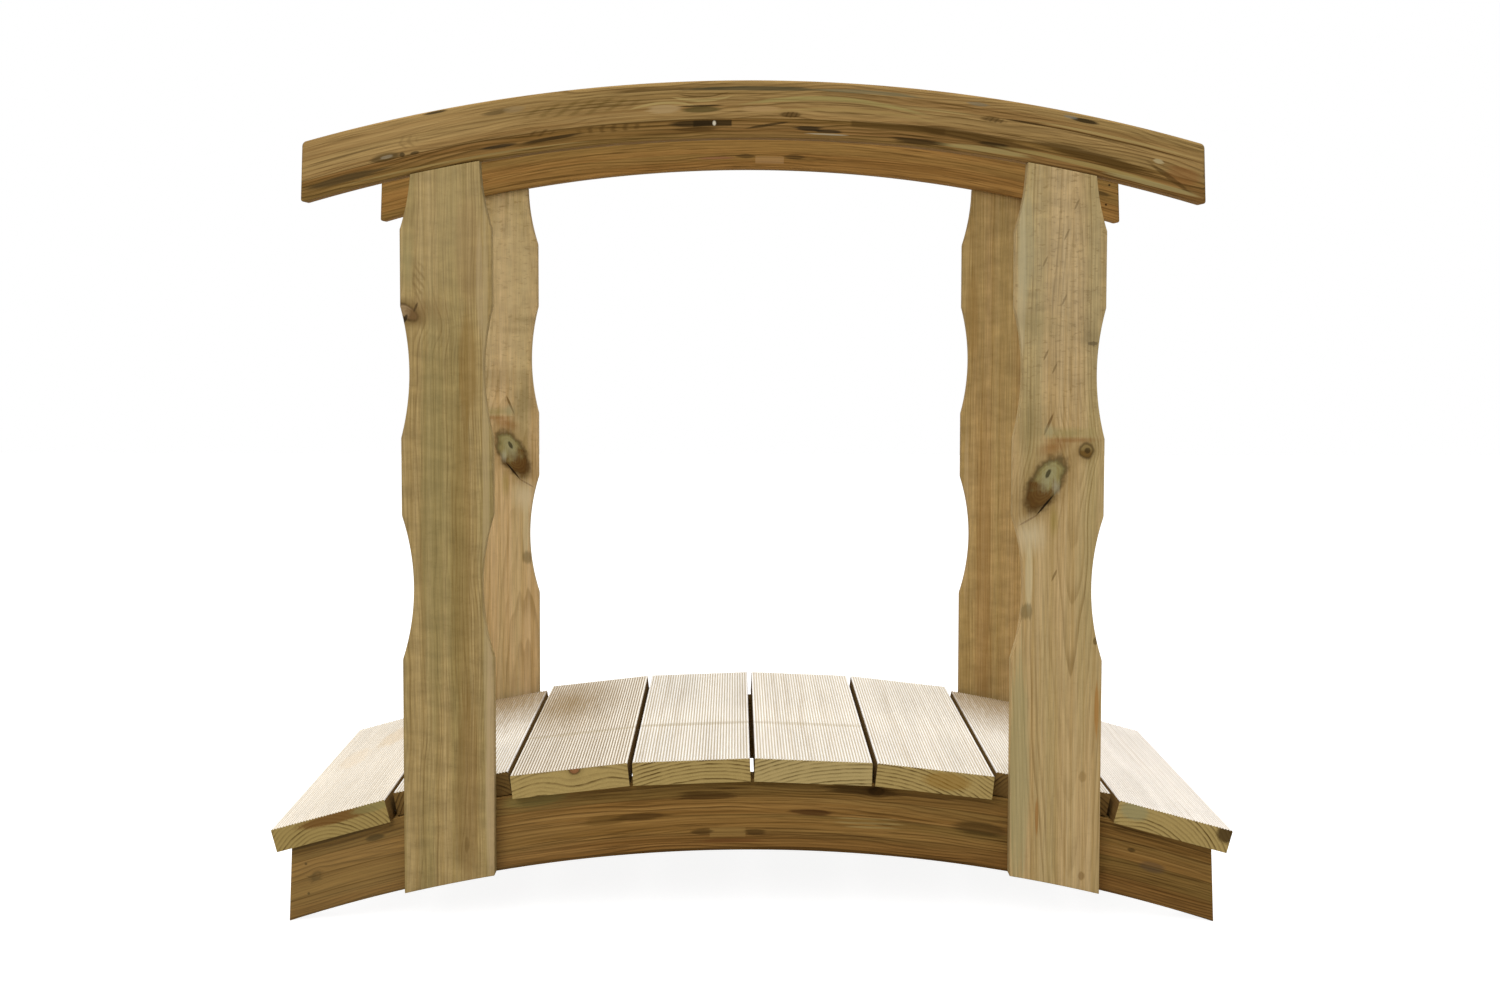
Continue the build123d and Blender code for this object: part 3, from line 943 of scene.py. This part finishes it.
FRONT_KNOTS, FRONT_KNOT_MARKS = great_knot(509, -15, 1)
BACK_KNOTS, BACK_KNOT_MARKS = great_knot(504, 16, -1)
POST_LOOKS = {
    "front_left": {
        "tones": OLIVE_POST, "pith": (-90, 60), "ring_width": 3.1, "ring_share": 0.5,
        "waviness": 26.0, "unevenness": 1.6, "fleck_share": 0.14, "vein_share": 0.2,
        "knots": (knot(701, -43, 7, 1.8, -55, ("#9E8460", "#6E5232"), 0.8, 3.2),),
        "marks": (
            stain(707, -34, 5, 1.4, CRACK_BLACK, 0.9, rise=2, raggedness=0.5),
            stain(694, -46, 5, 2.2, CRACK_BLACK, 0.85, rise=2, raggedness=0.5),
            stain(704, -22, 13, 16, "#72512A", 0.5, raggedness=2.4, softness=1.4),
            stripes(738, -30, 24, 9, "#6C5026", 0.4, 6.5, -38),
            stain(450, 44, 400, 4, "#BBA478", 0.55), stain(190, 48, 140, 5, "#C0A57E", 0.5),
            stain(160, 20, 110, 13, "#7C5E30", 0.45), stain(420, 16, 200, 11, "#82652F", 0.35),
            stain(480, -16, 240, 13, "#8A8052", 0.35), stain(95, 20, 9, 2.4, "#6A5028", 0.45),
            stain(770, 25, 60, 14, "#8C6C42", 0.35),
            stain(760, -44, 30, 6, "#9E9868", 0.35, softness=1.4),
            stain(800, 0, 90, 44, "#C2AE82", 0.2, softness=1.4),
            stain(640, 24, 60, 10, "#86662F", 0.4), stain(735, 38, 60, 4, "#B9A27A", 0.4),
        ),
    },
    "front_right": {
        "tones": PALE_POST, "pith": (14, 42), "slope": (0, -0.066), "ring_width": 4.2,
        "ring_share": 0.6, "waviness": 14.0, "fleck_share": 0.5, "fleck_span": (520, 680),
        "knots": FRONT_KNOTS,
        "marks": (
            *FRONT_KNOT_MARKS,
            stain(59, 31, 5, 3.6, "#7A5A30", 0.55), stain(174, 31, 6, 4, "#8E7040", 0.5),
            *dashes((824, 17), (790, 6), (717, 4), (640, -6), (760, -18), (655, -16), (405, -4)),
            stain(723, -34, 4, 9, "#6C5A34", 0.4, raggedness=2.6, softness=1.2),
            stain(708, -21, 4, 9, "#6C5A34", 0.35, raggedness=2.6, softness=1.2),
            stain(678, 32, 11, 9, "#6A5A38", 0.5, raggedness=3.0, softness=1.6),
            stain(668, 37, 2.4, 5, "#463418", 0.65, raggedness=1.6),
            stain(127, -21, 20, 1.8, "#9A6A34", 0.7), stain(330, 44, 4, 3, "#5A4420", 0.7),
            stain(250, 46, 30, 2.2, "#A87434", 0.7), stain(182, -42, 130, 11, "#9A9468", 0.5),
            stain(740, -44, 90, 5, "#C9B78E", 0.5), stain(780, -40, 60, 9, "#A9A07A", 0.4),
            stain(745, 0, 110, 50, "#B8AC90", 0.2, softness=1.4),
            stain(690, -26, 12, 22, "#8A7C54", 0.35, raggedness=3.0, softness=1.6),
        ),
    },
    "back_left": {
        "tones": FADED_POST, "pith": (30, 30), "slope": (0, 0.05), "ring_width": 4.4,
        "ring_share": 0.5, "waviness": 14.0, "fleck_share": 0.5, "fleck_span": (480, 640),
        "knots": BACK_KNOTS,
        "marks": (
            *BACK_KNOT_MARKS,
            stain(720, 10, 110, 40, "#C9B183", 0.35),
            stain(610, -10, 10, 30, "#86744C", 0.3, raggedness=2.6, softness=1.6),
            stain(690, 30, 5, 16, "#7A683E", 0.35, raggedness=3.0, softness=1.6),
            stain(676, 22, 4, 18, "#7A683E", 0.3, raggedness=3.0, softness=1.6),
        ),
    },
    "back_right": {
        "tones": BROWN_POST, "pith": (-90, 40), "ring_width": 3.2, "ring_share": 0.6,
        "waviness": 9.0, "fleck_share": 0.1, "vein_share": 0.3,
        "marks": (stain(330, -20, 260, 9, "#8E6A36", 0.4), stain(700, -38, 60, 8, "#96743E", 0.4),
                  stain(420, -44, 120, 4, "#C0A478", 0.4)),
    },
}


def posts():
    """Stand each scalloped post where its node stands."""
    for seed, (place, looks) in enumerate(POST_LOOKS.items(), POST_SEED):
        node = "post_" + place
        low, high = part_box(node)
        finish = pine(f"pressure-treated pine, post {place.replace('_', ' ')}", seed=seed,
                      end_axis="Z", end_tones=POST_END_TONES, **looks)
        piece = made_by("pine_" + node, POST, {
            "Centre X": (low[0] + high[0]) / 2,
            "Half Width": (high[0] - low[0]) / 2,
            "Thickness": high[1] - low[1],
            "Face Y": low[1],
            "Foot Radius": STRINGER_RADIUS * MM,
            "Foot Centre": STRINGER_CENTRE_Z * MM,
            "Head Radius": RAIL_RADIUS * MM,
            "Head Centre": RAIL_CENTRE_Z * MM,
            "Finish": finish,
        }, arris=POST_ARRIS)
        settle(piece, node)


# Arch beams. Places on a beam are mm along its underside and mm up from there.

STRINGER_TONES = ("#9C763F", "#84602E", "#4A3113", "#836C39")
DARK_STRINGER_TONES = ("#976F3B", "#805A2B", "#482E12", "#7F6636")
LIGHT_STRINGER_TONES = ("#A57D44", "#8C6632", "#4E3415", "#8B723E")
RAIL_TONES = ("#AB8B57", "#916F40", "#513813", "#947B4A")
LOWER_RAIL_TONES = ("#987443", "#7F5B2F", "#44300F", "#826A35")
BACK_RAIL_TONES = ("#A37941", "#886231", "#4C3212", "#886F3C")
BEAM_END_TONES = ("#8A7042", "#543F1C")
SOOTY = "#2A1F0E"
UMBER = "#4A3415"
STRAW = "#B09860"
NAIL_HOLE = "#140C04"


def nail_holes(*places):
    """Small dark nail holes."""
    return tuple(stain(along, across, 1.5, 1.5, NAIL_HOLE, 0.85, raggedness=0.1, softness=0.5)
                 for along, across in places)


FRONT_RAIL_MARKS = (
    # Upper board, from left to right
    stain(-347, 61.5, 14, 1.4, CRACK_BLACK, 0.9, raggedness=0.8),
    stain(-282, 50, 16, 3.2, SOOTY, 0.6, raggedness=2.2), stain(-262, 50, 12, 4, "#8A7654", 0.5),
    stain(-447, 37, 48, 0.9, UMBER, 0.8, raggedness=0.6),
    stripes(-384, 36, 15, 9, UMBER, 0.35, 7, 50, fold=1.0),
    stripes(-190, 43, 84, 10, "#54400F", 0.32, 9.5, 30),
    stain(-104, 56, 38, 1.6, UMBER, 0.6), stain(2, 54.5, 72, 2.2, "#3C3C2C", 0.7, raggedness=1.8),
    stain(125, 55, 55, 2.0, "#6E6C52", 0.55),
    stain(-99, 34, 18, 4.6, "#B0966A", 0.6, raggedness=1.2), stain(-99, 41, 36, 1.5, STRAW, 0.75, bow=-5),
    stain(-58, 32, 21, 3.4, "#4C4220", 0.75, raggedness=0.9),
    stain(-58, 36, 24, 0.9, SOOTY, 0.85, raggedness=0.4),
    stain(-56, 42, 30, 1.5, STRAW, 0.75, bow=4), stain(-56, 46, 26, 0.8, UMBER, 0.6, bow=4),
    stain(7, 32, 22, 3.3, "#AE8D5C", 0.75, raggedness=0.6),
    stain(84, 45, 96, 2.6, "#A3945A", 0.65, bow=-8, raggedness=0.9),
    stain(88, 41, 96, 0.8, UMBER, 0.4, bow=-8), stain(110, 34, 90, 1.8, "#A78C54", 0.5, bow=-5),
    stripes(41, 26, 11, 4, SOOTY, 0.5, 4.6, 66), stain(41, 26, 11, 3, UMBER, 0.7, raggedness=1.8),
    stain(244, 55, 11, 2, "#77705C", 0.6), stain(202, 42, 41, 1.6, "#A8905A", 0.6),
    stain(262, 40.5, 14, 2.6, UMBER, 0.6, raggedness=2.4), stripes(266, 40, 15, 3.6, SOOTY, 0.35, 5, 60),
    stain(300, 43, 24, 1.1, SOOTY, 0.75),
    stain(362, 57, 15, 2.2, SOOTY, 0.9, raggedness=0.5), stain(346, 58, 8, 1.6, "#7E7A6C", 0.6),
    stain(399, 46, 96, 1.4, STRAW, 0.65), stain(399, 43, 92, 0.8, UMBER, 0.75),
    stain(451, 32, 6, 2.4, "#B7A67C", 0.75), stain(481, 24, 20, 9, "#8C5E32", 0.5),
    # Middle board
    stain(-411, 24, 17, 4.4, "#38280F", 0.8, raggedness=0.8),
    stain(-409, 24.5, 7, 1.6, "#9C917A", 0.5, raggedness=1.8),
    stain(-378, 22, 5, 2, SOOTY, 0.85), stain(-392, 23, 3, 3, SOOTY, 0.85),
    stain(-460, 12, 45, 4, "#42351F", 0.75), stain(-284, 12, 20, 2.5, "#241F16", 0.75, raggedness=1.8),
    stain(-227, 12.5, 34, 2, SOOTY, 0.8, rise=1.5),
    stripes(-236, 20, 18, 4.6, UMBER, 0.5, 8, 40), stripes(-158, 17, 48, 5.4, UMBER, 0.5, 13, 84),
    stain(-68, 16.5, 26, 3.6, SOOTY, 0.8, raggedness=0.8), block(-46, 16.5, 22, 3.6, SOOTY, 0.85),
    stain(-44, 16.5, 1.8, 2.6, "#D8CDB4", 0.9, raggedness=0.5, softness=0.6),
    stain(-64, 10, 24, 2, UMBER, 0.75), stain(15, 14, 24, 1.5, SOOTY, 0.75, rise=4),
    stain(60, 11, 15, 2.6, "#1E1A12", 0.8, raggedness=2.4),
    stain(84, 9, 14, 2.2, "#1E1A12", 0.75, raggedness=2.4), stain(82, 5.6, 22, 0.9, "#B5AB90", 0.6),
    block(160, 19, 54, 3.4, "#503A18", 0.75), stain(244, 18, 70, 6, UMBER, 0.7, rise=-3, raggedness=1.8),
    stain(187, 6, 32, 3.2, SOOTY, 0.75, raggedness=1.8), stain(268, 13, 18, 2.4, SOOTY, 0.7),
    stain(378, 20, 66, 5.5, "#46300F", 0.75, rise=-3, raggedness=1.8),
    stain(467, 18, 26, 2.6, UMBER, 0.6, rise=-10), stain(-400, 44, 110, 16, "#C2A26A", 0.3, softness=1.4),
    # Lowest board
    stain(262, 6, 50, 3, "#A89660", 0.65), stain(370, 10, 90, 2.6, "#A48F56", 0.65, rise=-2),
    stain(452, 6, 50, 2.6, "#AB9A66", 0.65), stain(-330, 5, 130, 1.2, STRAW, 0.4),
    stain(-240, 21, 240, 0.9, UMBER, 0.5),
)
BACK_RAIL_MARKS = (
    stain(-6, 17, 12, 3, SOOTY, 0.6, raggedness=2.0), stain(60, 17, 14, 3, SOOTY, 0.6, raggedness=2.0),
    block(26, 12, 20, 4.5, "#B28E60", 0.4), stain(-45, 15, 26, 1.6, "#8A5648", 0.4),
    *nail_holes((487, 46), (490, 19)), stain(476, 32, 16, 3, SOOTY, 0.6, raggedness=2.0),
)
FRONT_STRINGER_MARKS = (
    *nail_holes((-505, 58), (-512, 24)),
    stain(-423, 67, 10, 3.6, SOOTY, 0.85), stain(-473, 78, 50, 2.4, SOOTY, 0.7),
    stain(-503, 42, 6, 1.4, UMBER, 0.8, bow=2), stain(-499, 37, 7, 1.2, UMBER, 0.7, bow=-2),
    stain(-128, 43, 28, 4.2, "#402A10", 0.7, raggedness=2.2), stain(-166, 42, 24, 6, "#5A4018", 0.5),
    stain(-51, 64, 34, 5, "#3A240C", 0.65, raggedness=2.2), stain(-243, 76, 34, 8, "#7A7440", 0.5),
    block(-28, 21, 21, 5.2, "#9A7A44", 0.6), stain(-57, 22, 12, 3.6, "#33220C", 0.6),
    stain(3, 20.5, 12, 3.8, "#33220C", 0.6), stain(-25, 11, 36, 2.4, "#5C3218", 0.5),
    stain(122, 73, 42, 4.8, "#3A260F", 0.7, raggedness=2.0),
    stain(67, 45, 22, 3.2, "#3A1E0C", 0.7, raggedness=1.8),
    stripes(132, 37, 46, 10, STRAW, 0.5, 5, 2), stain(257, 44, 30, 8, "#33260F", 0.6),
    stain(457, 41, 15, 6, "#5A4A3A", 0.5), stain(429, 54, 4, 2.4, SOOTY, 0.6),
    stain(-30, 1.6, 560, 1.6, "#33220C", 0.6, raggedness=0.6),
    stain(-460, 42, 190, 70, "#A88C58", 0.3, raggedness=0.8, softness=1.4),
    stain(400, 42, 240, 80, "#3A2610", 0.1, raggedness=0.8, softness=1.4),
)
FRONT_STRINGER_KNOTS = (
    knot(-498, 41, 3.5, 1.6, 30, ("#6A4C24", "#4A3418")), knot(137, 74, 4.5, 1.8, 0, (UMBER, SOOTY)),
)
# How far the ragged edge of a mark may reach, in half heights
RAGGED_REACH = 1.6
FRONT_RAIL_GRAIN = {"slope": (0.03, 0), "waviness": 40.0, "ring_width": 4.4, "ring_share": 0.65}


def touches(mark, base, depth):
    """Tell whether a mark reaches into the strip between two heights."""
    values = mark["values"]
    half = values["Half Size"][1]
    reach = half * (RAGGED_REACH + abs(values.get("Rise", 0)) + abs(values.get("Bow", 0)))
    return base - reach < values["Place"][1] < base + depth + reach


def beam(kind, row, seed, strips, form_radius, centre_z, depth, half_length, lean, rounding,
         glue_share, marks=(), **common):
    """Bend every strip of one beam over its form, each in its own finish."""
    for number, looks in enumerate(strips, 1):
        node = f"{kind}_{row}_strip_{number}"
        base = (number - 1) * depth
        settings = {"seed": seed + number, "waviness": 20.0, "ring_width": 3.4, "vein_share": 0.8,
                    "patch_share": 0.3, **common, **looks}
        borders = [(line * depth, glue_share) for line in (number - 1, number) if 0 < line < len(strips)]
        finish = pine(f"pressure-treated pine, {kind} {row} strip {number}", glue_lines=borders,
                      end_tones=BEAM_END_TONES,
                      marks=[mark for mark in marks if touches(mark, base, depth)], **settings)
        bent_strip(node, number, len(strips), form_radius, centre_z, depth, half_length, lean,
                   rounding, finish)


def arch_beams():
    """Make both stringers and both handrails."""
    stringer = (STRINGER_RADIUS, STRINGER_CENTRE_Z, STRINGER_STRIP_DEPTH, STRINGER_HALF_LENGTH,
                STRINGER_END_LEAN, STRINGER_ARRIS)
    rail = (RAIL_RADIUS, RAIL_CENTRE_Z, RAIL_STRIP_DEPTH, RAIL_HALF_LENGTH, RAIL_END_LEAN,
            RAIL_ROUNDING)
    stringer_strips = (
        {"pith": (-70, 30), "tones": DARK_STRINGER_TONES},
        {"pith": (90, 20), "slope": (0.02, 0)},
        {"pith": (-10, 60), "slope": (-0.03, 0), "tones": LIGHT_STRINGER_TONES},
        {"pith": (130, 40)},
    )
    beam("stringer", "front", 50, stringer_strips, *stringer, 0.45, FRONT_STRINGER_MARKS,
         tones=STRINGER_TONES, knots=FRONT_STRINGER_KNOTS)
    beam("stringer", "back", 70, stringer_strips, *stringer, 0.3, tones=STRINGER_TONES)
    beam("handrail", "front", 60, (
        {"pith": (-30, 30), "tones": LOWER_RAIL_TONES}, {"pith": (-46, 26), **FRONT_RAIL_GRAIN},
        {"pith": (-46, 26), **FRONT_RAIL_GRAIN},
    ), *rail, 0.3, FRONT_RAIL_MARKS, tones=RAIL_TONES)
    beam("handrail", "back", 80, (
        {"pith": (-60, 30)}, {"pith": (80, 20)}, {"pith": (-20, 50)},
    ), *rail, 0.3, BACK_RAIL_MARKS, tones=BACK_RAIL_TONES)


# Studio. Places are in m, the camera's angles in degrees, its lens and sensor in mm.

CAMERA_PLACE = (-0.0205, -3.2418, 0.709)
CAMERA_YAW = 0.337
CAMERA_PITCH = 4.321
CAMERA_ROLL = 0.126
CAMERA_LENS = 61.53
SENSOR_WIDTH = 36.0
FLOOR_HALF = 9.0
PAPER = "#C4C4C4"
WHITE = (1, 1, 1, 1)
WORLD_LIGHT = 0.55
FLOOR_GLOW = 0.9

# Lamps: name, place, what they aim at, size and power in W
LAMPS = (
    ("overhead_softbox", (0.0, 0.1, 3.4), (0.0, 0.0, 0.0), (3.2, 2.4), 80.0),
    ("front_softbox", (-1.2, -4.2, 2.2), (0.0, 0.0, 0.5), (2.4, 1.8), 60.0),
)


def camera():
    """Camera at the photograph's place and angle."""
    data = bpy.data.cameras.new("camera")
    data.lens = CAMERA_LENS
    data.sensor_width = SENSOR_WIDTH
    made = bpy.data.objects.new("camera", data)
    bpy.context.scene.collection.objects.link(made)
    turn = (Matrix.Rotation(radians(-CAMERA_YAW), 4, "Z")
            @ Matrix.Rotation(radians(90 - CAMERA_PITCH), 4, "X")
            @ Matrix.Rotation(radians(CAMERA_ROLL), 4, "Z"))
    made.matrix_world = Matrix.Translation(CAMERA_PLACE) @ turn
    bpy.context.scene.camera = made


def seen_white(tree):
    """Share that is 1 for what the camera sees directly, in a reflection or through glass."""
    path = add(tree, "LightPath")
    seen = path.outputs["Is Camera Ray"]
    for ray in ("Is Glossy Ray", "Is Transmission Ray"):
        seen = add(tree, "Math MAXIMUM", seen, path.outputs[ray])
    return seen


def studio():
    """White surroundings, a pale floor that keeps the shadow, and soft lamps."""
    world = bpy.data.worlds.new("white studio")
    world.use_nodes = True
    bpy.context.scene.world = world
    tree = world.node_tree
    tree.nodes.clear()
    strength = add(tree, "MapRange", seen_white(tree), 0, 1, WORLD_LIGHT, 1.0)
    backdrop = add(tree, "Background", WHITE, strength)
    add(tree, "OutputWorld", backdrop)

    floor_mesh = bpy.data.meshes.new("studio_floor")
    corners = [(x * FLOOR_HALF, y * FLOOR_HALF, 0) for x, y in ((-1, -1), (1, -1), (1, 1), (-1, 1))]
    floor_mesh.from_pydata(corners, [], [(0, 1, 2, 3)])
    floor = bpy.data.objects.new("studio_floor", floor_mesh)
    bpy.context.scene.collection.objects.link(floor)
    paper = bpy.data.materials.new("matt white studio paper")
    paper.use_nodes = True
    tree = paper.node_tree
    tree.nodes.clear()
    matt = add(tree, "BsdfDiffuse", colour(PAPER))
    glow = add(tree, "Math MULTIPLY", seen_white(tree), FLOOR_GLOW)
    shine = add(tree, "Emission", WHITE, glow)
    both = add(tree, "AddShader", matt, shine)
    add(tree, "OutputMaterial", both)
    floor_mesh.materials.append(paper)

    for name, place, aim, size, power in LAMPS:
        data = bpy.data.lights.new(name, "AREA")
        data.shape = "RECTANGLE"
        data.size, data.size_y = size
        data.energy = power
        lamp = bpy.data.objects.new(name, data)
        bpy.context.scene.collection.objects.link(lamp)
        lamp.location = place
        lamp.rotation_euler = (Vector(aim) - Vector(place)).to_track_quat("-Z", "Y").to_euler()


camera()
studio()
deck_boards()
posts()
arch_beams()

view = bpy.context.scene.view_settings
view.view_transform = "Standard"
